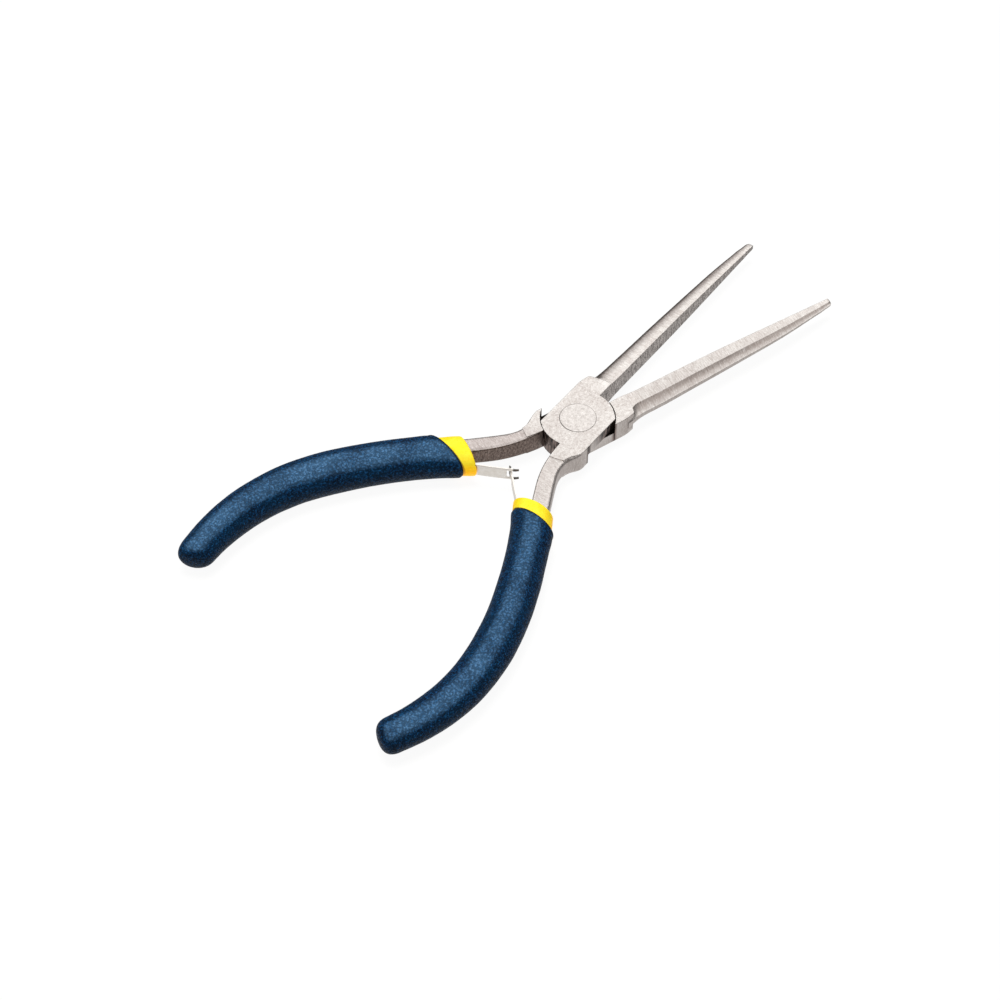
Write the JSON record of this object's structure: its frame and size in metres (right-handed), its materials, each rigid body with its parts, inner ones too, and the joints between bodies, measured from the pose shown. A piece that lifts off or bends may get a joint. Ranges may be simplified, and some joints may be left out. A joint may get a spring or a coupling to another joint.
{
  "type": "needle nose pliers",
  "caption": "Spring-loaded needle nose pliers: two lap-jointed halves on a flush rivet, long smooth tapering jaws, interlocking leaf springs and bowed two-layer grips.",
  "frame": {"origin": "pivot axis at the rear flat of the joint, in the middle of the flush rivet's rear face", "axes": "+X towards the jaw tips along the line midway between the jaws, +Z along the rivet to the front flat of the joint, +Y completes the right-handed frame"},
  "size_m": [0.1366, 0.0647, 0.0083],
  "materials": {
    "jaw_steel": "satin, fine ground grain",
    "rivet_steel": "satin, ground flush",
    "spring_steel": "satin rolled strip",
    "liner_yellow": "smooth semi-gloss",
    "sleeve_navy": "fine leathery grain, semi-matte"
  },
  "bodies": {
    "rear_half": {"half_b": "jaw_steel", "pivot_rivet": "rivet_steel", "spring_root_b": "spring_steel", "spring_rivet_b": "rivet_steel", "grip_liner_b": "liner_yellow", "grip_sleeve_b": "sleeve_navy"},
    "front_half": {"half_a": "jaw_steel", "spring_root_a": "spring_steel", "spring_rivet_a": "rivet_steel", "grip_liner_a": "liner_yellow", "grip_sleeve_a": "sleeve_navy"},
    "leaf_a": {"spring_blade_a": "spring_steel"},
    "leaf_b": {"spring_blade_b": "spring_steel"}
  },
  "joints": [
    {"name": "jaw_pivot", "type": "hinge", "parent": "rear_half", "child": "front_half", "pos_m": [0, 0, 0.00255], "axis": [0, 0, 1], "range_deg": [-19.2, 2], "stiffness_Nm_per_rad": 0.4},
    {"name": "leaf_a_flex", "type": "hinge", "parent": "front_half", "child": "leaf_a", "pos_m": [-0.02253, -0.00771, 0.00255], "axis": [0, 0, 1], "range_deg": [-21.21, 2.48]},
    {"name": "leaf_b_flex", "type": "hinge", "parent": "rear_half", "child": "leaf_b", "pos_m": [-0.02268, 0.0068, 0.00255], "axis": [0, 0, 1], "range_deg": [-2.49, 21.34]}
  ],
  "couplings": [
    {"joint": "leaf_a_flex", "follows": "jaw_pivot", "ratio": 1.089},
    {"joint": "leaf_b_flex", "follows": "jaw_pivot", "ratio": -1.096}
  ]
}
